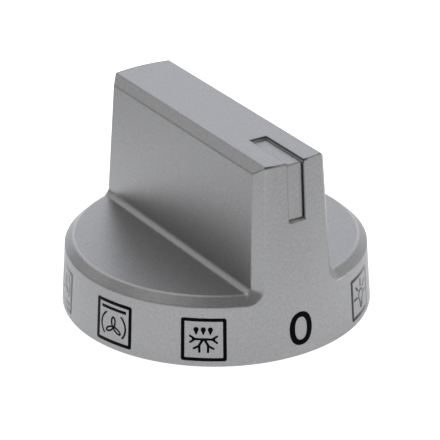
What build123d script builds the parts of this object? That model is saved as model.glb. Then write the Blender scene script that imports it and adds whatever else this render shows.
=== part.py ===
from build123d import *
import os
from math import radians, tan

# Oven control knob. The skirt rim lies on z = 0, the shaft axis is +Z and the
# pointer looks along -Y. All sizes are in millimetres.

# Outer form: one drafted cone, with both sides cut away above the disc.
rim_radius = 22.5
total_height = 29.0
skirt_draft = 3.74
disc_height = 10.2
grip_half_width = 6.62
grip_draft = 2.7
root_chamfer = 0.65
root_rounding = 0.5
edge_chamfer = 1.2
rim_rounding = 0.25

# Wall thicknesses of the hollow moulding.
skirt_wall = 1.8
disc_wall = 2.0
grip_side_wall = 2.0
grip_end_wall = 3.0
grip_top_wall = 3.0
core_draft = 1.5

# Boss that takes the 6 mm shaft of the switch, with a flat on the shaft.
shaft_radius = 3.0
shaft_flat = 1.6
shaft_clearance = 0.05
boss_radius = 5.5
boss_recess = 1.2
lead_in_clearance = 0.3
lead_in_depth = 3.0
socket_depth = 14.0
relief_radius = 2.0
relief_roof = 1.0

# Leaf spring that presses on the flat of the shaft.
leaf_thickness = 0.35
leaf_width = 4.0
leaf_side_clearance = 0.05
leaf_pocket_depth = 0.85
leaf_end_gap = 0.1
leaf_foot = 1.6
leaf_run = 3.2
leaf_bulge = 0.25
leaf_bend = 1.2

# Ribs from the boss to the skirt: one pair across the grip, four at a slant.
rib_thickness = 1.2
rib_depth = 3.6
cross_ribs = 2
slanted_ribs = 4
slanted_rib_angle = 45

# Pointer: an angled bar that sits a little below the surface of its slot. The
# slot and the pegs are placed from the top of the grip.
slot_half_width = 1.4
slot_back = 11.1
slot_length = 8.8
slot_depth = 1.8
pointer_recess = 0.4
pointer_side_gap = 0.1
pointer_end_gap = 0.12
pointer_rounding = 0.3
peg_radius = 0.75
peg_clearance = 0.05
peg_drops = (6.6, 4.0)
peg_overhang = 0.7
peg_chamfer = 0.2

# Slopes of the drafted walls, and the outer form at any height.
skirt_slope = tan(radians(skirt_draft))
grip_slope = tan(radians(grip_draft))
core_slope = tan(radians(core_draft))


def cone_radius(height):
    """Radius of the outer cone at a height above the rim."""
    return rim_radius - height * skirt_slope


def grip_half(height):
    """Half width of the grip at a height above the rim."""
    return grip_half_width - (height - disc_height) * grip_slope


def slot_floor(height):
    """Y position of the upright floor of the pointer slot at a height."""
    return slot_depth - cone_radius(height)


def pointer_face(height):
    """Y position of the visible front face of the pointer at a height."""
    return pointer_recess - cone_radius(height)


# Sizes that follow from the ones above.
disc_underside = disc_height - disc_wall
grip_roof = total_height - grip_top_wall
cut_reach = rim_radius + edge_chamfer
cut_top = total_height + edge_chamfer
lead_in_top = boss_recess + lead_in_depth
socket_top = lead_in_top + socket_depth
bore_radius = shaft_radius + shaft_clearance
lead_in_radius = shaft_radius + lead_in_clearance
flat_position = shaft_flat + shaft_clearance
pocket_wall = flat_position + leaf_pocket_depth
pocket_half_width = leaf_width / 2 + leaf_side_clearance
rib_reach = cone_radius(disc_underside) - skirt_wall / 2
slot_shelf = total_height - slot_depth
slot_bottom = total_height - slot_length
peg_rows = [total_height - drop for drop in peg_drops]
pointer_half_width = slot_half_width - pointer_side_gap
pointer_back = -slot_back - pointer_end_gap
pointer_top = total_height - pointer_recess
pointer_bottom = slot_bottom + pointer_end_gap
peg_tip = cone_radius(peg_rows[-1]) - grip_end_wall - peg_overhang
peg_root = cone_radius(peg_rows[-1]) - (slot_depth + pointer_recess) / 2
leaf_bottom = lead_in_top + leaf_end_gap
leaf_top = socket_top - leaf_end_gap
leaf_seat = pocket_wall - leaf_thickness / 2
leaf_press = flat_position - leaf_bulge + leaf_thickness / 2


# Hollow of the grip: a cone inside the end walls, narrowed by the side walls.
with BuildPart() as grip_hollow:
    with BuildSketch(Plane.XY.offset(disc_underside)) as hollow_bottom:
        Circle(cone_radius(disc_underside) - grip_end_wall)
    with BuildSketch(Plane.XY.offset(grip_roof)) as hollow_top:
        Circle(cone_radius(grip_roof) - grip_end_wall)
    loft()
    with BuildSketch(Plane.XZ) as hollow_width:
        with BuildLine():
            Polyline(
                (grip_half(disc_underside) - grip_side_wall, disc_underside),
                (grip_half(grip_roof) - grip_side_wall, grip_roof),
                (-(grip_half(grip_roof) - grip_side_wall), grip_roof),
                (-(grip_half(disc_underside) - grip_side_wall), disc_underside),
                close=True,
            )
        make_face()
    extrude(amount=cut_reach, both=True, mode=Mode.INTERSECT)

# Painted moulding: skirt, disc, full-width grip, boss, ribs and pointer slot.
with BuildPart() as knob_shell:
    with BuildSketch(Plane.XZ) as cone_profile:
        with BuildLine():
            Polyline(
                (0, 0),
                (rim_radius, 0),
                (cone_radius(total_height), total_height),
                (0, total_height),
                close=True,
            )
        make_face()
    revolve(axis=Axis.Z)

    # Two side cuts leave the disc and the grip between them.
    with BuildSketch(Plane.XZ) as side_cuts:
        with BuildLine():
            Polyline(
                (grip_half(disc_height), disc_height),
                (grip_half(cut_top), cut_top),
                (cut_reach, cut_top),
                (cut_reach, disc_height),
                close=True,
            )
        make_face()
        mirror(about=Plane.YZ)
    extrude(amount=cut_reach, both=True, mode=Mode.SUBTRACT)

    # A flat strip with rounded sides fills the root of the grip first, so that the
    # wide chamfer runs in one smooth line along the disc, up the corners and on top.
    root_edges = knob_shell.edges().filter_by(Axis.Y).filter_by_position(
        Axis.Z, disc_height - root_chamfer, disc_height + root_chamfer
    )
    chamfer(root_edges, length=root_chamfer)
    strip_edges = knob_shell.edges().filter_by(Axis.Y).filter_by_position(
        Axis.Z, disc_height - root_chamfer, disc_height + 2 * root_chamfer
    )
    fillet(strip_edges, radius=root_rounding)
    outline_edges = knob_shell.edges().filter_by_position(
        Axis.Z, disc_height - root_chamfer, cut_top
    )
    root_lines = outline_edges.filter_by(Axis.Y).filter_by_position(
        Axis.Z, disc_height - root_chamfer, disc_height + 3 * root_chamfer
    )
    ridge_arcs = outline_edges.filter_by(GeomType.CIRCLE).filter_by_position(
        Axis.Z, total_height - root_chamfer, cut_top
    )
    plain_edges = root_lines + ridge_arcs
    chamfer_edges = outline_edges.filter_by(lambda edge: edge not in plain_edges)
    chamfer(chamfer_edges, length=edge_chamfer)
    rim_edges = knob_shell.edges().filter_by_position(Axis.Z, -rim_rounding, rim_rounding)
    fillet(rim_edges.filter_by(GeomType.CIRCLE), radius=rim_rounding)

    # The skirt is hollowed from below and opens into the hollow of the grip.
    with BuildSketch(Plane.XY) as skirt_opening:
        Circle(rim_radius - skirt_wall)
    with BuildSketch(Plane.XY.offset(disc_underside)) as skirt_ceiling:
        Circle(cone_radius(disc_underside) - skirt_wall - disc_underside * core_slope)
    loft(mode=Mode.SUBTRACT)
    add(grip_hollow.part, mode=Mode.SUBTRACT)

    # The boss runs from just above the rim to the roof of the grip.
    with BuildSketch(Plane.XY.offset(boss_recess)) as boss_outline:
        Circle(boss_radius)
    extrude(amount=grip_roof - boss_recess)

    # Ribs under the disc tie the boss to the skirt.
    with BuildSketch(Plane.XY.offset(disc_underside - rib_depth)) as skirt_ribs:
        with PolarLocations(rib_reach / 2, cross_ribs):
            Rectangle(rib_reach, rib_thickness)
        with PolarLocations(rib_reach / 2, slanted_ribs, start_angle=slanted_rib_angle):
            Rectangle(rib_reach, rib_thickness)
    extrude(amount=rib_depth)

    # Round lead-in, then the D section for the flat of the shaft, then a relief.
    with BuildSketch(Plane.XY.offset(boss_recess)) as lead_in:
        Circle(lead_in_radius)
    extrude(amount=lead_in_depth, mode=Mode.SUBTRACT)
    with BuildSketch(Plane.XY.offset(lead_in_top)) as socket_section:
        Circle(bore_radius)
        with Locations((0, flat_position)):
            Rectangle(
                2 * bore_radius,
                bore_radius,
                align=(Align.CENTER, Align.MIN),
                mode=Mode.SUBTRACT,
            )
        Rectangle(
            2 * pocket_half_width,
            pocket_wall,
            align=(Align.CENTER, Align.MIN),
        )
    extrude(amount=socket_depth, mode=Mode.SUBTRACT)
    with BuildSketch(Plane.XY.offset(socket_top)) as relief_section:
        Circle(relief_radius)
    extrude(amount=grip_roof - relief_roof - socket_top, mode=Mode.SUBTRACT)

    # Angled slot for the pointer over the front ridge, with two peg holes.
    with BuildSketch(Plane.YZ) as slot_profile:
        with BuildLine():
            Polyline(
                (-slot_back, cut_top),
                (-slot_back, slot_shelf),
                (slot_floor(slot_shelf), slot_shelf),
                (slot_floor(slot_bottom), slot_bottom),
                (-cut_reach, slot_bottom),
                (-cut_reach, cut_top),
                close=True,
            )
        make_face()
    extrude(amount=slot_half_width, both=True, mode=Mode.SUBTRACT)
    with BuildSketch(Plane.XZ.offset(peg_tip)) as peg_holes:
        with Locations(*[(0, row) for row in peg_rows]):
            Circle(peg_radius + peg_clearance)
    extrude(amount=cut_reach - peg_tip, mode=Mode.SUBTRACT)

# Pointer: one angled bar, flush on the slot floor, held by two pegs.
with BuildPart() as pointer_insert:
    with BuildSketch(Plane.YZ) as pointer_profile:
        with BuildLine():
            Polyline(
                (pointer_back, pointer_top),
                (pointer_back, slot_shelf),
                (slot_floor(slot_shelf), slot_shelf),
                (slot_floor(pointer_bottom), pointer_bottom),
                (pointer_face(pointer_bottom), pointer_bottom),
                (pointer_face(pointer_top), pointer_top),
                close=True,
            )
        make_face()
    extrude(amount=pointer_half_width, both=True)
    top_outline = pointer_insert.faces().sort_by(Axis.Z)[-1].edges().sort_by(Axis.Y)[1:]
    front_outline = pointer_insert.faces().sort_by(Axis.Y)[0].edges().sort_by(Axis.Z)[:-1]
    fillet(top_outline + front_outline, radius=pointer_rounding)
    with BuildSketch(Plane.XZ.offset(peg_tip)) as pegs:
        with Locations(*[(0, row) for row in peg_rows]):
            Circle(peg_radius)
    extrude(amount=peg_root - peg_tip)
    peg_ends = pointer_insert.edges().filter_by(GeomType.CIRCLE).filter_by_position(
        Axis.Y, -peg_tip - peg_chamfer, -peg_tip + peg_chamfer
    )
    chamfer(peg_ends, length=peg_chamfer)

# Leaf spring: both feet lie on the pocket wall, the middle presses on the shaft.
with BuildPart() as shaft_spring:
    with BuildSketch(Plane.YZ) as leaf_profile:
        with BuildLine() as leaf_middle_line:
            FilletPolyline(
                (leaf_seat, leaf_bottom),
                (leaf_seat, leaf_bottom + leaf_foot),
                (leaf_press, leaf_bottom + leaf_foot + leaf_run),
                (leaf_press, leaf_top - leaf_foot - leaf_run),
                (leaf_seat, leaf_top - leaf_foot),
                (leaf_seat, leaf_top),
                radius=leaf_bend,
            )
        trace(line_width=leaf_thickness)
    extrude(amount=leaf_width / 2, both=True)

os.makedirs("parts", exist_ok=True)
knob_shell.part.label = "knob_shell"
pointer_insert.part.label = "pointer_insert"
shaft_spring.part.label = "shaft_spring"
export_step(knob_shell.part, "parts/knob_shell.step")
export_step(pointer_insert.part, "parts/pointer_insert.step")
export_step(shaft_spring.part, "parts/shaft_spring.step")
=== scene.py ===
"""Looks of the oven control knob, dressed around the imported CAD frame."""

from __future__ import annotations

import logging
import math
from dataclasses import dataclass
from enum import Enum
from typing import Any, Callable, Optional, Union

import bpy
import numpy as np
from mathutils import Matrix, Vector


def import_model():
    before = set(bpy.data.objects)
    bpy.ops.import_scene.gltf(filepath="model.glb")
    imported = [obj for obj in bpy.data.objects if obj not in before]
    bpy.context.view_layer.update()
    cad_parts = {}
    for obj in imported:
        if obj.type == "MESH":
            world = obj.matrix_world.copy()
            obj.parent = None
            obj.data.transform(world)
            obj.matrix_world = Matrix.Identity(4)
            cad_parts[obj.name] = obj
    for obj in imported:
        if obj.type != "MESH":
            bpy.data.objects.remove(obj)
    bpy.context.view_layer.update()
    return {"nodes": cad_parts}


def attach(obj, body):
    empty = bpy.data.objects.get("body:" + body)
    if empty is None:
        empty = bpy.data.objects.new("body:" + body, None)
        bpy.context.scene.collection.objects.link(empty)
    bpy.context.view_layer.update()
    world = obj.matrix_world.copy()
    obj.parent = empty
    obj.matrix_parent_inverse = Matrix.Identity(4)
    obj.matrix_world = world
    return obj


log = logging.getLogger("oven_knob")

Point = tuple[float, float]
Place = tuple[float, float, float]
Colour = tuple[float, float, float]
# Where a smooth step starts and where it ends, or the two ends of a range
Span = tuple[float, float]

MM = 0.001
WHITE: Colour = (1.0, 1.0, 1.0)
COOL: Colour = (0.965, 0.975, 1.06)
NOISE_ROUGHNESS = 0.55


def add_object(name: str, data: bpy.types.ID) -> bpy.types.Object:
    """Adds an object to the scene.

    Args:
        name: The object's name.
        data: Its mesh, light or camera.

    Returns:
        The object.
    """
    added = bpy.data.objects.new(name, data)
    bpy.context.scene.collection.objects.link(added)
    return added


# Shader maths


class Expr:
    """A number socket of a node tree, on which Python operators add Math nodes."""

    def __init__(self, bench: "Bench", socket: bpy.types.NodeSocket) -> None:
        """Keeps the socket and the bench that adds nodes beside it."""
        self.bench = bench
        self.socket = socket

    def _math(self, operation: str, *values: "Number") -> "Expr":
        """Adds one Math node.

        Args:
            operation: The Math node's operation.
            *values: What goes into its inputs, in order.

        Returns:
            The node's result as an expression.
        """
        settings = {"operation": operation}
        made = self.bench.node("ShaderNodeMath", settings, dict(enumerate(values)))
        return Expr(self.bench, made.outputs[0])

    def __add__(self, other: "Number") -> "Expr":
        """Sum."""
        return self._math("ADD", self, other)

    __radd__ = __add__

    def __sub__(self, other: "Number") -> "Expr":
        """Difference."""
        return self._math("SUBTRACT", self, other)

    def __rsub__(self, other: "Number") -> "Expr":
        """Difference with a number on the left."""
        return self._math("SUBTRACT", other, self)

    def __mul__(self, other: "Number") -> "Expr":
        """Product."""
        return self._math("MULTIPLY", self, other)

    __rmul__ = __mul__

    def __truediv__(self, other: "Number") -> "Expr":
        """Quotient."""
        return self._math("DIVIDE", self, other)

    def __pow__(self, other: "Number") -> "Expr":
        """Power."""
        return self._math("POWER", self, other)

    def __abs__(self) -> "Expr":
        """Size without its sign."""
        return self._math("ABSOLUTE", self)

    def __neg__(self) -> "Expr":
        """The same size with the other sign."""
        return self._math("MULTIPLY", self, -1.0)

    def least(self, other: "Number") -> "Expr":
        """The smaller of two values."""
        return self._math("MINIMUM", self, other)

    def most(self, other: "Number") -> "Expr":
        """The larger of two values."""
        return self._math("MAXIMUM", self, other)

    def root(self) -> "Expr":
        """Square root."""
        return self._math("SQRT", self)

    def sine(self) -> "Expr":
        """Sine of an angle in radians."""
        return self._math("SINE", self)

    def cosine(self) -> "Expr":
        """Cosine of an angle in radians."""
        return self._math("COSINE", self)

    def rise(self, low: float, high: float) -> "Expr":
        """Smooth step from 0 at low to 1 at high.

        Args:
            low: Value at which the step starts.
            high: Value at which the step ends.

        Returns:
            The step as an expression.
        """
        settings = {"interpolation_type": "SMOOTHSTEP", "clamp": True}
        values = {"Value": self, "From Min": low, "From Max": high}
        made = self.bench.node("ShaderNodeMapRange", settings, values)
        return Expr(self.bench, made.outputs["Result"])


Number = Union[int, float, Expr]
Value = Union[Number, bpy.types.NodeSocket, tuple[float, ...]]


class Bench:
    """Adds nodes to one tree, of a material, a world or a geometry modifier."""

    def __init__(self, tree: bpy.types.NodeTree) -> None:
        """Keeps the tree."""
        self.tree = tree

    def node(
        self,
        kind: str,
        settings: Optional[dict[str, Any]] = None,
        values: Optional[dict[Union[str, int], Value]] = None,
    ) -> bpy.types.Node:
        """Adds a node of any kind.

        Args:
            kind: The node's type name.
            settings: Its properties, set first.
            values: What its inputs hold or are linked from, by name or number.

        Returns:
            The node.
        """
        made = self.tree.nodes.new(kind)
        for name, value in (settings or {}).items():
            setattr(made, name, value)
        self.fill(made, values or {})
        return made

    def fill(self, node: bpy.types.Node, values: dict[Union[str, int], Value]) -> None:
        """Sets or links inputs of a node.

        Args:
            node: The node.
            values: Numbers, vectors, colours of three parts or links, by name or number.
        """
        for key, value in values.items():
            target = node.inputs[key]
            source = value.socket if isinstance(value, Expr) else value
            if isinstance(source, bpy.types.NodeSocket):
                self.tree.links.new(source, target)
            elif target.type == "RGBA":
                target.default_value = (*source, 1.0)
            else:
                target.default_value = source

    def blend(self, share: Number, first: Value, second: Value) -> bpy.types.NodeSocket:
        """Mixes two colours.

        Args:
            share: 0 for the first colour, 1 for the second.
            first: Colour or colour socket.
            second: Colour or colour socket.

        Returns:
            The colour socket.
        """
        made = self.node("ShaderNodeMix", {"data_type": "RGBA"}, {0: share, 6: first, 7: second})
        return made.outputs[2]

    def scaled(self, vector: Value, factor: Number) -> bpy.types.NodeSocket:
        """A vector or colour times a factor."""
        values = {0: vector, "Scale": factor}
        return self.node("ShaderNodeVectorMath", {"operation": "SCALE"}, values).outputs[0]

    def axes(self, vector: bpy.types.NodeSocket) -> tuple[Expr, Expr, Expr]:
        """The three parts of a vector as expressions."""
        parts = self.node("ShaderNodeSeparateXYZ", None, {0: vector}).outputs
        return Expr(self, parts[0]), Expr(self, parts[1]), Expr(self, parts[2])

    def noise(self, vector: bpy.types.NodeSocket, scale: float, detail: float = 2.0) -> Expr:
        """Smooth noise around 0.5.

        Args:
            vector: Coordinates in millimetres.
            scale: Waves per millimetre.
            detail: Finer octaves.

        Returns:
            The noise as an expression.
        """
        values = {
            "Vector": vector,
            "Scale": scale,
            "Detail": detail,
            "Roughness": NOISE_ROUGHNESS,
        }
        return Expr(self, self.node("ShaderNodeTexNoise", None, values).outputs["Fac"])


class Coords:
    """Object coordinates in millimetres in one material: their socket and their three parts."""

    def __init__(self, bench: Bench) -> None:
        """Adds the nodes of the coordinates.

        Args:
            bench: Bench of the material.
        """
        self.bench = bench
        self.vector = bench.scaled(bench.node("ShaderNodeTexCoord").outputs["Object"], 1.0 / MM)
        self.x, self.y, self.z = bench.axes(self.vector)

    def noise(self, scale: float, detail: float = 2.0) -> Expr:
        """Smooth noise around 0.5, with waves per millimetre and finer octaves."""
        return self.bench.noise(self.vector, scale, detail)


def new_material(name: str) -> tuple[bpy.types.Material, Bench, bpy.types.Node]:
    """Starts a material with one Principled shader.

    Args:
        name: The material's name.

    Returns:
        The material, its bench and the shader node.
    """
    material = bpy.data.materials.new(name)
    material.use_nodes = True
    bench = Bench(material.node_tree)
    return material, bench, material.node_tree.nodes["Principled BSDF"]


# Sizes


@dataclass(frozen=True)
class KnobForm:
    """Outer form of the knob in millimetres and degrees, as the CAD has it.

    Attributes:
        rim_radius: Radius of the drafted cone at the rim.
        draft: Angle of the cone's wall.
        height: Height of the grip's top.
        disc_height: Height of the disc beside the grip.
        grip_half_width: Half the grip's width where it meets the disc.
        grip_draft: Angle of the grip's sides.
        chamfer: Width of the chamfer round each side cut.
    """

    rim_radius: float = 22.5
    draft: float = 3.74
    height: float = 29.0
    disc_height: float = 10.2
    grip_half_width: float = 6.62
    grip_draft: float = 2.7
    chamfer: float = 1.2

    @property
    def slope(self) -> float:
        """Radius lost for each millimetre of height."""
        return math.tan(math.radians(self.draft))

    @property
    def grip_slope(self) -> float:
        """Half width that the grip loses for each millimetre of height."""
        return math.tan(math.radians(self.grip_draft))

    def wall(self, at: Coords) -> Expr:
        """Distance of a point inside the drafted cone, in millimetres."""
        return self.rim_radius - at.z * self.slope - (at.x * at.x + at.y * at.y).root()

    def depth(self, at: Coords) -> Expr:
        """Depth of a point below the outer form, in millimetres.

        Args:
            at: Coordinates of the material.

        Returns:
            The depth as an expression, 0 on the outer faces and chamfers.
        """
        wall = self.wall(at)
        side = self.grip_half_width + (self.disc_height - at.z) * self.grip_slope - abs(at.x)
        in_grip = self.bevelled(side, self.height - at.z).least(self.bevelled(side, wall))
        return in_grip.most(self.bevelled(wall, self.disc_height - at.z))

    def bevelled(self, first: Expr, second: Expr) -> Expr:
        """Depth below two faces and the chamfer between them.

        Args:
            first: Depth below one face.
            second: Depth below the other.

        Returns:
            The smallest of the three depths.
        """
        chamfered = (first + second - self.chamfer) * math.sqrt(0.5)
        return first.least(second).least(chamfered)


# Finishes


@dataclass(frozen=True)
class NoiseLayer:
    """One layer of noise in the paint.

    Attributes:
        scale: Waves per millimetre.
        detail: Finer octaves.
        shade: How much it changes the silver's brightness.
        roughness: How much it changes the roughness.
        relief: Its share of the relief.
    """

    scale: float
    detail: float
    shade: float
    roughness: float = 0.0
    relief: float = 0.0

    def wave(self, at: Coords) -> Expr:
        """The noise around 0."""
        return at.noise(self.scale, self.detail) - 0.5


@dataclass(frozen=True)
class RidgeDarkLine:
    """A dark line of the plastic's colour along the ridge between the grip's top and its two ends.

    Lengths are in millimetres.

    Attributes:
        amount: Factor on all the shares below.
        edge: Distances from the ridge between which the paint gets whole.
        all_along: Share of bare plastic on the whole ridge.
        corner: Places left of the middle between which the front's left corner starts.
        corner_share: What that corner adds.
        spot: Place of the bare spot beside the slot, right of the middle.
        spot_edge: Distances from it between which the spot ends.
        spot_share: What the spot adds.
        front: Places in front of the axis between which corner and spot set in.
        patch_scale: Patches per millimetre.
        patch_edge: Noise values between which a patch gets barer.
        patch_share: How much the patches change.
    """

    amount: float = 0.85
    edge: Span = (0.1, 0.38)
    all_along: float = 0.36
    corner: Span = (2.4, 4.6)
    corner_share: float = 0.65
    spot: float = 1.6
    spot_edge: Span = (0.2, 0.6)
    spot_share: float = 0.75
    front: Span = (0.0, 1.0)
    patch_scale: float = 0.55
    patch_edge: Span = (0.3, 0.75)
    patch_share: float = 0.3

    def bare(self, at: Coords, form: KnobForm) -> Expr:
        """How much of the plastic's dark colour shows along the ridge.

        Args:
            at: Coordinates of the material.
            form: Outer form of the piece.

        Returns:
            0 where the paint is whole, up to 1 on the ridge.
        """
        from_ridge = form.wall(at) + (form.height - at.z)
        patches = at.noise(self.patch_scale).rise(*self.patch_edge)
        patchy = patches * self.patch_share + (1 - self.patch_share)
        corner = (-at.x).rise(*self.corner) * self.corner_share
        spot = (1 - abs(at.x - self.spot).rise(*self.spot_edge)) * self.spot_share
        share = self.all_along + (corner + spot) * (-at.y).rise(*self.front)
        return (1 - from_ridge.rise(*self.edge)) * patchy * share * self.amount


@dataclass(frozen=True)
class SlotPaint:
    """The pointer's slot, how the paint lies on its walls, and the painted light on them.

    Lengths are in millimetres.

    Attributes:
        half_width: Half the slot's width.
        back: Distance of its back end from the axis.
        bottom: Height of its lower end.
        side_edge: Steps outside half_width.
        end_edge: Steps past the back end and the lower end.
        front_part: Depths below the top between which the slot's front part starts.
        rim_start: Depths between which the dark line at its upper edge starts.
        rim_end: Depths between which that line ends.
        front_edge: Depths between which the paint of the front part ends.
        bottom_edge: Heights above the lower end between which bare plastic starts.
        bare_share: How bare the line and the front part are.
        deep_edge: Depths between which all paint ends.
        dust_with_painted_light: Colour of the dry overspray on the walls, lighter than the silver
            as painted light that lifts the shade in the slot.
        dust_and_light_edge: Depths between which the overspray and its painted light start.
        dust_roughness: Its roughness.
        dust_fullness: How much of the metal flake it hides.
    """

    half_width: float = 1.4
    back: float = 11.1
    bottom: float = 20.2
    side_edge: Span = (0.01, 0.04)
    end_edge: Span = (-0.1, -0.02)
    front_part: Span = (0.5, 0.7)
    rim_start: Span = (0.0, 0.04)
    rim_end: Span = (0.24, 0.4)
    front_edge: Span = (0.19, 0.32)
    bottom_edge: Span = (0.05, 0.3)
    bare_share: float = 0.85
    deep_edge: Span = (1.0, 1.7)
    dust_with_painted_light: Colour = (0.59, 0.59, 0.59)
    dust_and_light_edge: Span = (0.04, 0.14)
    dust_roughness: float = 0.75
    dust_fullness: float = 0.8

    def inside(self, at: Coords) -> Expr:
        """Where the slot is.

        Args:
            at: Coordinates of the material.

        Returns:
            1 in the slot, 0 elsewhere.
        """
        across = 1 - abs(at.x).rise(*(self.half_width + step for step in self.side_edge))
        ahead = (-at.y).rise(*(self.back + step for step in self.end_edge))
        return across * ahead * at.z.rise(*(self.bottom + step for step in self.end_edge))

    def bare(self, at: Coords, depth: Expr, height: float) -> Expr:
        """Where the walls of the slot show dark plastic.

        Args:
            at: Coordinates of the material.
            depth: Depth below the outer form.
            height: Height of the outer form.

        Returns:
            0 where the walls are painted, 1 where they are bare.
        """
        in_front = (height - at.z).rise(*self.front_part)
        rim_line = depth.rise(*self.rim_start) * (1 - depth.rise(*self.rim_end)) * (1 - in_front)
        front_wall = depth.rise(*self.front_edge) * in_front
        above_bottom = at.z.rise(*(self.bottom + step for step in self.bottom_edge))
        shallow = (rim_line + front_wall) * above_bottom * self.bare_share
        return shallow.most(depth.rise(*self.deep_edge))


@dataclass(frozen=True)
class SatinPaint:
    """Silver paint with fine flake over dark plastic that shows in places, plus a painted
    highlight.

    Lengths are in millimetres.

    Attributes:
        name: The material's name.
        form: Outer form of the piece.
        ridge: The dark line along the ridge.
        slot: Paint in the pointer's slot.
        silver: Mean colour of the paint.
        flake: How metallic it is.
        roughness: Its mean roughness.
        plastic: Colour of the moulded plastic.
        plastic_roughness: Roughness of the plastic.
        paint_edge: Depths between which the paint ends inside the knob.
        paint_wobble: How much the cloud moves that edge.
        cloud: Broad noise.
        grain: Noise of the size of the paint's grain.
        glint: Noise of the size of the flakes.
        relief_strength: Strength of the relief.
        relief_depth: Its depth.
        edge_radius: Radius of the rounding that edges seem to have.
        edge_samples: Samples for that rounding.
        speck_place: The dark speck in the paint of the disc.
        speck_reach: Distances from it between which it ends.
        speck_share: How bare its middle is.
        painted_highlight_edge: Distances from the chamfer's inner edge where the highlight ends.
        painted_highlight_gain: How much lighter the paint is made there, as a painted highlight.
    """

    name: str
    form: KnobForm
    ridge: RidgeDarkLine = RidgeDarkLine()
    slot: SlotPaint = SlotPaint()
    silver: Colour = (0.32, 0.32, 0.32)
    flake: float = 0.85
    roughness: float = 0.42
    plastic: Colour = (0.016, 0.016, 0.017)
    plastic_roughness: float = 0.55
    paint_edge: Span = (0.2, 0.55)
    paint_wobble: float = 0.2
    cloud: NoiseLayer = NoiseLayer(0.35, 3.0, 0.03)
    grain: NoiseLayer = NoiseLayer(3.2, 2.0, 0.42, 0.04, 0.6)
    glint: NoiseLayer = NoiseLayer(9.0, 1.0, 0.14, 0.02, 0.4)
    relief_strength: float = 0.12
    relief_depth: float = 0.02
    edge_radius: float = 0.4
    edge_samples: int = 6
    speck_place: Place = (-17.68, 6.47, 10.2)
    speck_reach: Span = (0.06, 0.2)
    speck_share: float = 0.6
    painted_highlight_edge: Span = (0.1, 0.3)
    painted_highlight_gain: float = 0.5

    def speck(self, at: Coords) -> Expr:
        """The one dark speck in the paint of the disc.

        Args:
            at: Coordinates of the material.

        Returns:
            1 in its middle, 0 around it.
        """
        values = {0: at.vector, 1: self.speck_place}
        made = at.bench.node("ShaderNodeVectorMath", {"operation": "DISTANCE"}, values)
        return 1 - Expr(at.bench, made.outputs["Value"]).rise(*self.speck_reach)

    def painted_edge_highlight(self, at: Coords) -> Expr:
        """Where the inner edge of the disc's chamfer gets a painted highlight of lighter silver.

        Args:
            at: Coordinates of the material.

        Returns:
            1 on the edge, 0 away from it.
        """
        inwards = self.form.wall(at) - self.form.chamfer
        above = at.z - self.form.disc_height
        return 1 - (inwards * inwards + above * above).root().rise(*self.painted_highlight_edge)

    def relief(self, bench: Bench, height: Expr) -> bpy.types.NodeSocket:
        """Normal of the paint.

        Args:
            bench: Bench of the material.
            height: Height of the relief, as a share of its depth.

        Returns:
            The normal, with the relief and with edges slightly rounded.
        """
        rounded = bench.node(
            "ShaderNodeBevel", {"samples": self.edge_samples}, {"Radius": self.edge_radius * MM}
        )
        values = {
            "Strength": self.relief_strength,
            "Distance": self.relief_depth * MM,
            "Height": height,
            "Normal": rounded.outputs["Normal"],
        }
        return bench.node("ShaderNodeBump", None, values).outputs["Normal"]

    def build(self) -> bpy.types.Material:
        """Makes the material.

        Returns:
            The material.
        """
        material, bench, shader = new_material(self.name)
        at = Coords(bench)
        cloud, grain, glint = self.cloud.wave(at), self.grain.wave(at), self.glint.wave(at)
        depth = self.form.depth(at)
        slot = self.slot.inside(at)

        bare = (depth + cloud * self.paint_wobble).rise(*self.paint_edge) * (1 - slot)
        bare = bare.most(self.slot.bare(at, depth, self.form.height) * slot)
        bare = bare.most(self.ridge.bare(at, self.form))
        bare = bare.most(self.speck(at) * self.speck_share)

        # Dry overspray in the slot: rougher, less metallic, and lighter in colour as painted light
        # on its shaded walls.
        dust_and_painted_light = slot * depth.rise(*self.slot.dust_and_light_edge)
        shade = 1 + cloud * self.cloud.shade + grain * self.grain.shade + glint * self.glint.shade
        # Painted highlight: lighter silver along the inner edge of the disc's chamfer.
        shade = shade * (self.painted_edge_highlight(at) * self.painted_highlight_gain + 1)
        silver = bench.blend(dust_and_painted_light, bench.scaled(self.silver, shade), self.slot.dust_with_painted_light)
        metal = (1 - dust_and_painted_light * self.slot.dust_fullness) * self.flake
        finish = self.roughness + grain * self.grain.roughness + glint * self.glint.roughness
        finish = finish + dust_and_painted_light * (self.slot.dust_roughness - self.roughness)
        height = grain * self.grain.relief + glint * self.glint.relief
        bench.fill(
            shader,
            {
                "Base Color": bench.blend(bare, silver, self.plastic),
                "Metallic": (1 - bare) * metal,
                "Roughness": finish * (1 - bare) + bare * self.plastic_roughness,
                "Normal": self.relief(bench, height),
            },
        )
        return material


@dataclass(frozen=True)
class SpringSteel:
    """Cold-rolled strip with fine lines along its length.

    Attributes:
        name: The material's name.
        steel: Colour of the lightest lines.
        dark_line: Factor on it in the darkest lines.
        line_scale: Lines per millimetre along each axis.
        line_detail: Finer lines in them.
        roughness: Roughness in the darkest and in the lightest lines.
    """

    name: str = "spring_strip"
    steel: Colour = (0.56, 0.55, 0.53)
    dark_line: float = 0.8
    line_scale: Place = (9.0, 9.0, 0.4)
    line_detail: float = 3.0
    roughness: Span = (0.24, 0.4)

    def build(self) -> bpy.types.Material:
        """Makes the material.

        Returns:
            The material.
        """
        material, bench, shader = new_material(self.name)
        values = {0: Coords(bench).vector, "Scale": self.line_scale}
        stretched = bench.node("ShaderNodeMapping", None, values).outputs[0]
        lines = bench.noise(stretched, 1.0, self.line_detail)
        dark = tuple(self.dark_line * part for part in self.steel)
        low, high = self.roughness
        bench.fill(
            shader,
            {
                "Base Color": bench.blend(lines, dark, self.steel),
                "Roughness": low + lines * (high - low),
                "Metallic": 1.0,
            },
        )
        return material


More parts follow.
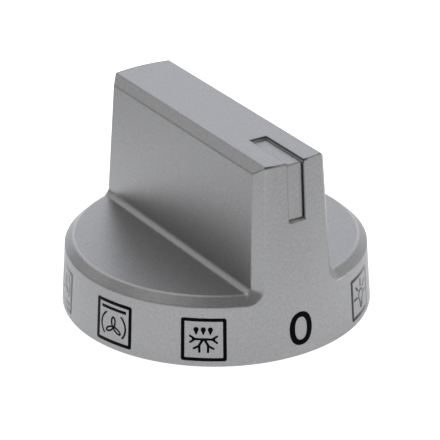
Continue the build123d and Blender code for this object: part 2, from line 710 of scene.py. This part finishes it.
@dataclass(frozen=True)
class SymbolInk:
    """Black ink, pad-printed and smooth, so that it mirrors its surroundings at a flat angle.

    Attributes:
        name: The material's name.
        ink: Colour where the film is thick.
        thin_film: Factor on it where the film is thin.
        film_scale: Waves of the film's thickness per millimetre.
        roughness: Roughness where the film is thick and where it is thin.
        edge_mirror: 1 for ink that is black in front and mirrors at a flat angle.
    """

    name: str = "symbol_ink"
    ink: Colour = (0.002, 0.002, 0.0023)
    thin_film: float = 1.7
    film_scale: float = 3.0
    roughness: Span = (0.16, 0.24)
    edge_mirror: float = 1.0

    def build(self) -> bpy.types.Material:
        """Makes the material.

        Returns:
            The material.
        """
        material, bench, shader = new_material(self.name)
        film = Coords(bench).noise(self.film_scale)
        thin = tuple(self.thin_film * part for part in self.ink)
        low, high = self.roughness
        bench.fill(
            shader,
            {
                "Base Color": bench.blend(film, self.ink, thin),
                "Roughness": low + film * (high - low),
                "Metallic": self.edge_mirror,
            },
        )
        return material


@dataclass(frozen=True)
class PaleFloor:
    """Matt white sweep: white to the camera, and as bright as measured where paint mirrors it.

    Attributes:
        name: The material's name.
        paper: Colour of the floor.
        paper_roughness: Its roughness.
        seen_glow: Glow to the camera, which makes the background white.
        tint: Colour of the light that paint mirrors.
        near_glow: Mirrored light near the knob.
        left_glow: What the left adds to it.
        behind_glow: What the part behind the knob adds to it.
        far_glow: Mirrored light far away.
        front_glow: What the front adds to that.
        far_reach: Distances in millimetres between which near turns into far.
        front: Direction of the front, of length 1.
        front_start: Cosine of the angle from it at which the front starts.
        left: Direction of the left.
        behind: Direction of the part behind.
        behind_edge: Cosines of the angle from it between which that part starts.
    """

    name: str = "pale_floor"
    paper: Colour = (0.8, 0.8, 0.8)
    paper_roughness: float = 0.9
    seen_glow: float = 0.85
    tint: Colour = (0.985, 0.99, 1.02)
    near_glow: float = 0.75
    left_glow: float = 0.25
    behind_glow: float = 0.5
    far_glow: float = 0.306
    front_glow: float = 0.856
    far_reach: Span = (40.0, 110.0)
    front: Point = (-0.53, -0.848)
    front_start: float = 0.5
    left: Point = (-0.883, -0.469)
    behind: Point = (0.342, 0.94)
    behind_edge: Span = (0.5, 0.9)

    def mirrored_glow(self, bench: Bench) -> Expr:
        """Light that the paint gets to mirror from each place on the floor.

        Args:
            bench: Bench of the floor's material.

        Returns:
            The strength of that light.
        """
        at = Coords(bench)
        reach = (at.x * at.x + at.y * at.y).root()

        def towards(direction: Point) -> Expr:
            """Cosine of the angle between a floor point and a direction, seen from the knob."""
            return (at.x * direction[0] + at.y * direction[1]) / reach

        ahead = (towards(self.front) - self.front_start) * (1 / (1 - self.front_start))
        behind = towards(self.behind).rise(*self.behind_edge)
        beside = towards(self.left).most(0.0)
        near = self.near_glow + beside * self.left_glow + behind * self.behind_glow
        far = self.far_glow + ahead.most(0.0) ** 2 * self.front_glow
        return near + reach.rise(*self.far_reach) * (far - near)

    def build(self) -> bpy.types.Material:
        """Makes the material.

        Returns:
            The material.
        """
        material, bench, shader = new_material(self.name)
        path = bench.node("ShaderNodeLightPath").outputs
        seen = Expr(bench, path["Is Camera Ray"]).most(Expr(bench, path["Is Transmission Ray"]))
        mirrored = Expr(bench, path["Is Glossy Ray"])
        glow = seen * self.seen_glow + mirrored * self.mirrored_glow(bench)
        bench.fill(
            shader,
            {
                "Base Color": self.paper,
                "Roughness": self.paper_roughness,
                "Specular IOR Level": 0.0,
                "Emission Color": bench.blend(seen, self.tint, WHITE),
                "Emission Strength": glow,
            },
        )
        return material


# Symbols printed on the skirt


Field = Callable[[np.ndarray, np.ndarray], np.ndarray]

THIN_LINE = 0.27
BOLD_LINE = 0.34
ARC_POINTS = 25
PETAL_POINTS = 32
PETAL_FOOT = 0.75
BAR_HEIGHT = 2.08


class Shape:
    """A flat shape of ink, in millimetres from the middle of its symbol."""

    def distance(self, u: np.ndarray, v: np.ndarray) -> np.ndarray:
        """Distance to the shape's edge.

        Args:
            u: Places along the skirt.
            v: Heights.

        Returns:
            The distances, below 0 inside the shape.
        """
        raise NotImplementedError


@dataclass(frozen=True)
class Stroke(Shape):
    """A pen stroke through points, with round ends, whose width may taper.

    Attributes:
        points: Its points.
        width: Its width at the first point.
        end_width: Its width at the last point, or None for the same.
        closed: True to join the last point to the first.
    """

    points: tuple[Point, ...]
    width: float
    end_width: Optional[float] = None
    closed: bool = False

    def distance(self, u: np.ndarray, v: np.ndarray) -> np.ndarray:
        """Distance to the stroke's edge.

        Args:
            u: Places along the skirt.
            v: Heights.

        Returns:
            The distances, below 0 inside it.
        """
        ends = list(self.points) + ([self.points[0]] if self.closed else [])
        last = self.width if self.end_width is None else self.end_width
        runs = len(ends) - 1
        best = np.full(np.shape(u), np.inf)
        for index, (start, end) in enumerate(zip(ends, ends[1:])):
            du, dv = end[0] - start[0], end[1] - start[1]
            along = ((u - start[0]) * du + (v - start[1]) * dv) / (du * du + dv * dv)
            along = np.clip(along, 0.0, 1.0)
            half = self.width + (last - self.width) * (index + along) / runs
            gap = np.hypot(u - start[0] - along * du, v - start[1] - along * dv)
            best = np.minimum(best, gap - half / 2)
        return best


@dataclass(frozen=True)
class Block(Shape):
    """A filled rectangle with rounded corners.

    Attributes:
        centre: Its middle.
        size: Its width and height.
        corner: Radius of its corners.
    """

    centre: Point
    size: Point
    corner: float = 0.05

    def distance(self, u: np.ndarray, v: np.ndarray) -> np.ndarray:
        """Distance to the block's edge.

        Args:
            u: Places along the skirt.
            v: Heights.

        Returns:
            The distances, below 0 inside it.
        """
        over_u = abs(u - self.centre[0]) - self.size[0] / 2 + self.corner
        over_v = abs(v - self.centre[1]) - self.size[1] / 2 + self.corner
        outside = np.hypot(np.maximum(over_u, 0), np.maximum(over_v, 0))
        return outside + np.minimum(np.maximum(over_u, over_v), 0) - self.corner


@dataclass(frozen=True)
class Border(Shape):
    """The outline of a rounded rectangle, drawn inside its outer size.

    Attributes:
        centre: Its middle.
        size: Its outer width and height.
        line: Width of the line at the sides and at top and bottom.
        corner: Outer radius of its corners.
        inner_corner: Inner radius of its corners.
    """

    centre: Point
    size: Point
    line: Point
    corner: float
    inner_corner: float = 0.06

    def distance(self, u: np.ndarray, v: np.ndarray) -> np.ndarray:
        """Distance to the line's edge.

        Args:
            u: Places along the skirt.
            v: Heights.

        Returns:
            The distances, below 0 inside it.
        """
        outer = Block(self.centre, self.size, self.corner)
        room = (self.size[0] - 2 * self.line[0], self.size[1] - 2 * self.line[1])
        inner = Block(self.centre, room, self.inner_corner)
        return np.maximum(outer.distance(u, v), -inner.distance(u, v))


@dataclass(frozen=True)
class Oval(Shape):
    """A ring between two rounded ovals, such as the figure 0.

    Attributes:
        outer: Half width and half height of the outer oval.
        inner: Half width and half height of the inner one.
        fullness: 2 for ellipses, more for fuller corners.
    """

    outer: Point
    inner: Point
    fullness: float = 2.25

    def distance(self, u: np.ndarray, v: np.ndarray) -> np.ndarray:
        """Distance to the nearer oval, close to true near it.

        Args:
            u: Places along the skirt.
            v: Heights.

        Returns:
            The distances, below 0 between the two.
        """

        def oval(half: Point) -> np.ndarray:
            """Measure of one oval."""
            total = abs(u / half[0]) ** self.fullness + abs(v / half[1]) ** self.fullness
            return (total ** (1 / self.fullness) - 1) * min(half)

        return np.maximum(oval(self.outer), -oval(self.inner))


def arc(centre: Point, radius: float, start: float, end: float, width: float) -> Stroke:
    """A stroke along part of a circle.

    Args:
        centre: Centre of the circle.
        radius: Its radius.
        start: First angle in degrees.
        end: Last angle in degrees.
        width: Width of the stroke.

    Returns:
        The stroke.
    """
    turns = np.radians(np.linspace(start, end, ARC_POINTS))
    points = [(centre[0] + radius * math.cos(t), centre[1] + radius * math.sin(t)) for t in turns]
    return Stroke(tuple(points), width)


def petal(foot: Point, angle: float, length: float, girth: float) -> Stroke:
    """The outline of one fan blade, fuller towards its tip.

    Args:
        foot: Point at the hub.
        angle: Direction of the blade in degrees.
        length: Length of the outline's middle line.
        girth: Its width across.

    Returns:
        The closed stroke.
    """
    turn = math.radians(angle)
    points = []
    for t in np.linspace(0, 2 * math.pi, PETAL_POINTS, endpoint=False):
        along = length / 2 * (1 - math.cos(t))
        across = girth / 2 * math.sin(t) * (PETAL_FOOT + (1 - PETAL_FOOT) * along / length)
        points.append(
            (
                foot[0] + along * math.cos(turn) - across * math.sin(turn),
                foot[1] + along * math.sin(turn) + across * math.cos(turn),
            )
        )
    return Stroke(tuple(points), THIN_LINE, closed=True)


def border() -> Border:
    """The square frame round a symbol."""
    return Border(centre=(0.0, 0.0), size=(6.4, 6.48), line=(0.51, 0.5), corner=0.34)


def heat_bar(height: float) -> Block:
    """The bar for a heating element, at a height above or below the middle."""
    return Block((0.0, height), (4.5, 0.44))


def fan(middle: float, size: float = 1.0) -> list[Shape]:
    """A three-bladed fan.

    Args:
        middle: Height of its hub.
        size: Factor on its size.

    Returns:
        The shapes.
    """
    hub = (-0.02, middle)
    blades = ((90, 1.5, 0.72), (211, 1.45, 0.62), (-31, 1.5, 0.62))
    return [petal(hub, angle, length * size, girth * size) for angle, length, girth in blades]


def brackets(middle: float) -> list[Shape]:
    """The two round brackets at the sides of a fan."""
    centre, radius = (-0.03, middle), 2.2
    return [arc(centre, radius, 128, 221, THIN_LINE), arc(centre, radius, 49, -41, 0.28)]


def zigzag(height: float, teeth: int = 4) -> Stroke:
    """The zigzag line for a grill.

    Args:
        height: Its height above the middle.
        teeth: Its upper points.

    Returns:
        The stroke.
    """
    width, rise = 4.3, 0.5
    step = width / (2 * teeth)
    points = [
        (-width / 2 + step * k, height + (rise if k % 2 else -rise)) for k in range(2 * teeth + 1)
    ]
    return Stroke(tuple(points), BOLD_LINE)


def defrost() -> list[Shape]:
    """Three drops above the lower half of a snow crystal.

    Returns:
        The shapes.
    """
    drops = [Stroke(((u, 1.53), (u, 0.86)), 0.75, 0.2) for u in (-1.06, -0.05, 0.94)]
    branches = (
        ((-1.25, 0.1), (-1.9, 0.54)),
        ((-1.25, 0.06), (-1.9, -0.42)),
        ((1.2, 0.1), (1.86, 0.53)),
        ((1.2, 0.06), (1.86, -0.45)),
    )
    arms = [Stroke(((-1.5, 0.08), (1.45, 0.08)), BOLD_LINE)]
    arms += [Stroke(branch, 0.31) for branch in branches]
    legs = []
    for side in (-1, 1):
        knee = (side * 0.68, -0.94)
        legs += [
            Stroke(((side * 0.16, -0.02), knee), 0.36),
            Stroke((knee, (side * 1.36, -1.34)), 0.32),
            Stroke(((side * 0.62, -0.98), (side * 0.6, -1.82)), BOLD_LINE),
        ]
    return drops + arms + legs


def lamp() -> list[Shape]:
    """A light bulb with five rays.

    Returns:
        The shapes.
    """
    bulb, neck, foot = (0.07, -0.17), -0.9, -1.3
    shapes: list[Shape] = [
        arc(bulb, 0.83, -62, 242, 0.3),
        Stroke(((-0.33, neck), (-0.33, foot)), 0.28),
        Stroke(((0.47, neck), (0.47, foot)), 0.28),
        Block((0.07, -1.62), (1.12, 0.74), 0.12),
        Block((0.07, -2.1), (0.6, 0.3), 0.1),
    ]
    for angle in (0, 45, 90, 135, 180):
        turn = math.radians(angle)
        ends = [(bulb[0] + r * math.cos(turn), bulb[1] + r * math.sin(turn)) for r in (1.42, 2.38)]
        shapes.append(Stroke(tuple(ends), 0.32))
    return shapes


class Symbol(Enum):
    """The settings of the knob, each with its angle round the skirt.

    The values are in degrees, 0 at the pointer and more towards +X.
    """

    OFF = 0.08
    DEFROST = -36.58
    FAN_TOP_HEAT = -72.5
    FAN_BOTTOM_HEAT = -108.4
    FAN_GRILL = -144.2
    GRILL = 180.0
    WIDE_GRILL = 144.2
    BOTTOM_HEAT = 108.3
    TOP_AND_BOTTOM_HEAT = 72.3
    LAMP = 36.2

    def shapes(self) -> list[Shape]:
        """Draws the symbol.

        Returns:
            Its shapes around its middle, in millimetres.
        """
        if self is Symbol.OFF:
            return [Oval((1.84, 2.52), (0.985, 1.725))]
        drawn: dict[Symbol, list[Shape]] = {
            Symbol.DEFROST: defrost(),
            Symbol.FAN_TOP_HEAT: [heat_bar(BAR_HEIGHT), *brackets(-0.47), *fan(-0.67)],
            Symbol.FAN_BOTTOM_HEAT: [heat_bar(-BAR_HEIGHT), *brackets(0.47), *fan(0.3)],
            Symbol.FAN_GRILL: [zigzag(1.75), *fan(-0.95, 0.95)],
            Symbol.GRILL: [zigzag(1.75, 3)],
            Symbol.WIDE_GRILL: [heat_bar(2.35), zigzag(1.25)],
            Symbol.BOTTOM_HEAT: [heat_bar(-BAR_HEIGHT)],
            Symbol.TOP_AND_BOTTOM_HEAT: [heat_bar(BAR_HEIGHT), heat_bar(-BAR_HEIGHT)],
            Symbol.LAMP: lamp(),
        }
        return [border(), *drawn[self]]


@dataclass(frozen=True)
class InkOutline:
    """Turns the shapes of a symbol into a flat mesh with smooth edges.

    Attributes:
        step: Width of a grid cell in millimetres.
        reach: Half the width of the grid.
        least: Smallest size of a value, so that no edge point falls on a grid point.
    """

    step: float = 0.07
    reach: float = 3.6
    least: float = 1e-5

    def mesh(self, field_of: Field) -> tuple[np.ndarray, list[list[int]]]:
        """Fills where a field is below 0, cell by cell.

        Args:
            field_of: Gives the signed distance at places and heights.

        Returns:
            The corner points and the faces, anticlockwise.
        """
        count = round(2 * self.reach / self.step) + 1
        line = np.linspace(-self.reach, self.reach, count)
        u, v = np.meshgrid(line, line, indexing="ij")
        value = field_of(u, v)
        value = np.where(abs(value) < self.least, self.least, value)
        inside = value < 0
        points: list[Point] = []
        known: dict[tuple, int] = {}

        def index_of(key: tuple, at_u: float, at_v: float) -> int:
            """Index of a point, which is added when its key is new.

            Args:
                key: One grid point, or the two that an edge point lies between.
                at_u: Its place.
                at_v: Its height.

            Returns:
                The index.
            """
            if key not in known:
                known[key] = len(points)
                points.append((float(at_u), float(at_v)))
            return known[key]

        def crossing(start: tuple[int, int], end: tuple[int, int]) -> int:
            """Index of the edge point between two grid points.

            Args:
                start: Row and column of one.
                end: Row and column of the other.

            Returns:
                The index.
            """
            share = value[start] / (value[start] - value[end])
            from_u, from_v = line[start[0]], line[start[1]]
            at_u = from_u + share * (line[end[0]] - from_u)
            at_v = from_v + share * (line[end[1]] - from_v)
            return index_of((min(start, end), max(start, end)), at_u, at_v)

        faces = []
        some = inside[:-1, :-1] | inside[1:, :-1] | inside[1:, 1:] | inside[:-1, 1:]
        for i, j in zip(*np.nonzero(some)):
            ring = [(i, j), (i + 1, j), (i + 1, j + 1), (i, j + 1)]
            face = []
            for here, following in zip(ring, ring[1:] + ring[:1]):
                if inside[here]:
                    face.append(index_of(here, line[here[0]], line[here[1]]))
                if inside[here] != inside[following]:
                    face.append(crossing(here, following))
            faces.append(face)
        return np.array(points), faces


@dataclass
class SymbolPrint:
    """The ring of symbols on the skirt: flat ink shapes, wrapped round the cone.

    Attributes:
        form: Outer form of the knob.
        ink: The ink's material.
        middle_height: Height of the symbols' middles in millimetres.
        middle_radius: Radius of the skirt at that height.
        film: Thickness of the ink.
        outline: Makes the meshes of the symbols.
    """

    form: KnobForm
    ink: bpy.types.Material
    middle_height: float = 4.17
    middle_radius: float = 22.23
    film: float = 0.012
    outline: InkOutline = InkOutline()

    def flat_layout(self) -> bpy.types.Object:
        """Lays all symbols side by side in one plane.

        Returns:
            The object, with X along the skirt and Y its height.
        """
        places: list[Place] = []
        faces: list[list[int]] = []
        for symbol in Symbol:
            shapes = symbol.shapes()
            points, rings = self.outline.mesh(
                lambda u, v: np.min([shape.distance(u, v) for shape in shapes], axis=0)
            )
            shift = math.radians(symbol.value) * self.middle_radius
            first = len(places)
            places += [((u + shift) * MM, (v + self.middle_height) * MM, 0.0) for u, v in points]
            faces += [[first + index for index in ring] for ring in rings]
        mesh = bpy.data.meshes.new("symbol_print")
        mesh.from_pydata(places, [], faces)
        mesh.update()
        return add_object("symbol_print_flat", mesh)

    def wrap_tree(self) -> bpy.types.NodeTree:
        """Geometry nodes that wrap a flat layout round the skirt and give it its ink.

        Returns:
            The node tree.
        """
        tree = bpy.data.node_groups.new("wrap_on_skirt", "GeometryNodeTree")
        sockets = tree.interface
        sockets.new_socket("Geometry", in_out="INPUT", socket_type="NodeSocketGeometry")
        for name in ("Rim Radius", "Middle Radius", "Slope", "Film"):
            sockets.new_socket(name, in_out="INPUT", socket_type="NodeSocketFloat")
        sockets.new_socket("Ink", in_out="INPUT", socket_type="NodeSocketMaterial")
        sockets.new_socket("Geometry", in_out="OUTPUT", socket_type="NodeSocketGeometry")
        bench = Bench(tree)
        given = bench.node("NodeGroupInput").outputs
        along, height, _ = bench.axes(bench.node("GeometryNodeInputPosition").outputs[0])
        turn = along / Expr(bench, given["Middle Radius"])
        radius = Expr(bench, given["Rim Radius"]) - height * Expr(bench, given["Slope"])
        radius = radius + Expr(bench, given["Film"])
        around = radius * turn.sine()
        ahead = -(radius * turn.cosine())
        target = bench.node("ShaderNodeCombineXYZ", None, {0: around, 1: ahead, 2: height})
        moved = bench.node(
            "GeometryNodeSetPosition",
            None,
            {"Geometry": given["Geometry"], "Position": target.outputs[0]},
        )
        real = bench.node("GeometryNodeRealizeInstances", None, {0: moved.outputs[0]})
        inked = bench.node(
            "GeometryNodeSetMaterial",
            None,
            {"Geometry": real.outputs[0], "Material": given["Ink"]},
        )
        bench.node("NodeGroupOutput", None, {0: inked.outputs[0]})
        return tree

    def build(self) -> None:
        """Makes the printed piece, which rides on the knob."""
        flat = self.flat_layout()
        tree = self.wrap_tree()
        modifier = flat.modifiers.new("wrap", "NODES")
        modifier.node_group = tree
        sizes = {
            "Rim Radius": self.form.rim_radius * MM,
            "Middle Radius": self.middle_radius * MM,
            "Slope": self.form.slope,
            "Film": self.film * MM,
            "Ink": self.ink,
        }
        for item in tree.interface.items_tree:
            if item.in_out == "INPUT" and item.name in sizes:
                modifier[item.identifier] = sizes[item.name]
        evaluated = flat.evaluated_get(bpy.context.evaluated_depsgraph_get())
        mesh = bpy.data.meshes.new_from_object(evaluated)
        mesh.name = "symbol_print"
        bpy.data.objects.remove(flat)
        piece = add_object("symbol_print", mesh)
        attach(piece, "root")
        log.info("symbol_print: %d faces", len(mesh.polygons))


# The moulded pieces


@dataclass
class KnobPieces:
    """The CAD nodes, each with its finish.

    Attributes:
        nodes: The objects of the CAD nodes, by node.
        finishes: Their materials, by node.
    """

    nodes: dict[str, bpy.types.Object]
    finishes: dict[str, bpy.types.Material]

    def dress(self) -> None:
        """Puts each finish on its node."""
        for node, material in self.finishes.items():
            piece = self.nodes[node]
            for entry in piece.material_slots:
                entry.material = material
            log.info("%s: %s", node, material.name)


# Studio


def outwards(azimuth: float, elevation: float) -> Vector:
    """Direction from the knob to something that looks at it.

    Args:
        azimuth: Angle in degrees from the pointer's side, towards +X.
        elevation: Angle above the floor in degrees.

    Returns:
        The direction, of length 1.
    """
    turn, rise = math.radians(azimuth), math.radians(elevation)
    return Vector(
        (math.sin(turn) * math.cos(rise), -math.cos(turn) * math.cos(rise), math.sin(rise))
    )


@dataclass(frozen=True)
class SoftBox:
    """One square studio light that looks at the knob.

    Attributes:
        name: Name of the lamp.
        azimuth: Angle in degrees from the pointer's side, towards +X.
        elevation: Angle above the floor in degrees.
        power: Power in watts.
        colour: Colour of the light.
        size: Width in metres.
        distance: Distance from the knob in metres.
    """

    name: str
    azimuth: float
    elevation: float
    power: float
    colour: Colour = WHITE
    size: float = 0.36
    distance: float = 0.8

    def build(self, target: Vector) -> None:
        """Makes the lamp.

        Args:
            target: Point that it looks at.
        """
        light = bpy.data.lights.new(self.name, "AREA")
        light.shape = "SQUARE"
        light.size = self.size
        light.energy = self.power
        light.color = self.colour
        placed = add_object(self.name, light)
        back = outwards(self.azimuth, self.elevation)
        placed.location = target + back * self.distance
        placed.rotation_euler = back.to_track_quat("Z", "Y").to_euler()


@dataclass(frozen=True)
class PhotoCamera:
    """The camera, placed as the photograph's perspective was measured.

    Attributes:
        azimuth: Angle in degrees from the pointer's side, towards +X.
        elevation: Angle above the floor in degrees.
        roll: Turn about the line of sight in degrees.
        distance: Distance in millimetres.
        across: Shift to the right in millimetres.
        upwards: Shift upwards in millimetres.
        focal_pixels: Focal length in pixels of the photograph.
        picture_pixels: Width of the photograph.
        sensor_width: Width of the sensor in millimetres.
        clip: Nearest and farthest distance in view, in metres.
    """

    azimuth: float = -32.0985
    elevation: float = 25.5261
    roll: float = -0.3
    distance: float = 391.469
    across: float = 0.6123
    upwards: float = 10.7897
    focal_pixels: float = 2673.086
    picture_pixels: float = 440.0
    sensor_width: float = 36.0
    clip: Span = (0.01, 10.0)

    def build(self) -> None:
        """Makes the camera and gives it to the scene."""
        back = outwards(self.azimuth, self.elevation)
        turn, roll = math.radians(self.azimuth), math.radians(self.roll)
        right = Vector((math.cos(turn), math.sin(turn), 0.0))
        up = back.cross(right)
        spot = back * self.distance + right * self.across + up * self.upwards
        level = right * math.cos(roll) + up * math.sin(roll)
        upright = up * math.cos(roll) - right * math.sin(roll)
        data = bpy.data.cameras.new("camera")
        data.sensor_width = self.sensor_width
        data.lens = self.focal_pixels * self.sensor_width / self.picture_pixels
        data.clip_start, data.clip_end = self.clip
        camera = add_object("camera", data)
        turned = Matrix((level, upright, back)).transposed().to_4x4()
        camera.matrix_world = Matrix.Translation(spot * MM) @ turned
        bpy.context.scene.camera = camera


@dataclass
class Studio:
    """Floor, soft lights, world and camera.

    Attributes:
        lights: The lights.
        aim: Point that they look at, in metres.
        ambient: Strength of the even light from all round.
        floor_half: Half the floor's width in metres.
        floor_drop: Gap between rim and floor in millimetres.
        photo_camera: The camera.
    """

    lights: tuple[SoftBox, ...] = (
        SoftBox("front_right", 28.0, 12.0, 0.475),
        SoftBox("right", 58.0, 12.0, 1.75),
        SoftBox("right_side", 88.0, 12.0, 0.237),
        SoftBox("back_right", 118.0, 12.0, 0.4, COOL),
        SoftBox("back", 148.0, 12.0, 0.458, COOL),
        SoftBox("back_left", 178.0, 12.0, 0.473, COOL),
        SoftBox("high_right_side", 88.0, 38.0, 0.133),
        SoftBox("high_back", 148.0, 38.0, 0.503, COOL),
        SoftBox("high_back_left", -152.0, 38.0, 0.444),
        SoftBox("high_left", -92.0, 38.0, 0.324),
        SoftBox("top_back", 148.0, 62.0, 0.514, COOL),
        SoftBox("top_left", -92.0, 62.0, 0.316),
    )
    aim: Place = (0.0, 0.0, 0.012)
    ambient: float = 0.28
    floor_half: float = 1.5
    floor_drop: float = 0.02
    photo_camera: PhotoCamera = PhotoCamera()

    def build(self) -> None:
        """Makes everything in the studio."""
        self.floor()
        for light in self.lights:
            light.build(Vector(self.aim))
        self.world()
        self.photo_camera.build()

    def floor(self) -> None:
        """A wide floor just under the rim."""
        half, level = self.floor_half, -self.floor_drop * MM
        mesh = bpy.data.meshes.new("floor")
        corners = [(-half, -half, level), (half, -half, level), (half, half, level)]
        mesh.from_pydata(corners + [(-half, half, level)], [], [(0, 1, 2, 3)])
        mesh.materials.append(PaleFloor().build())
        floor = add_object("floor", mesh)

    def world(self) -> None:
        """Even soft light from all round, white where the camera sees it."""
        world = bpy.data.worlds.new("studio")
        world.use_nodes = True
        bpy.context.scene.world = world
        bench = Bench(world.node_tree)
        seen = Expr(bench, bench.node("ShaderNodeLightPath").outputs["Is Camera Ray"])
        strength = seen * (1.0 - self.ambient) + self.ambient
        background = world.node_tree.nodes["Background"]
        bench.fill(background, {"Color": WHITE, "Strength": strength})


# Build


def main() -> None:
    """Builds the knob's looks and the studio in order."""
    logging.basicConfig(level=logging.INFO, format="%(name)s: %(message)s")
    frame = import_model()
    bpy.context.scene.view_settings.view_transform = "Standard"
    form = KnobForm()
    pointer_form = KnobForm(rim_radius=22.1, height=28.6)
    finishes = {
        "knob_shell": SatinPaint("satin_silver_paint", form).build(),
        "pointer_insert": SatinPaint(
            "satin_pointer_paint", pointer_form, RidgeDarkLine(amount=0.5), SlotPaint(bare_share=0.0)
        ).build(),
        "shaft_spring": SpringSteel().build(),
    }
    KnobPieces(frame["nodes"], finishes).dress()
    SymbolPrint(form, SymbolInk().build()).build()
    Studio().build()


if __name__ == "__main__":
    main()
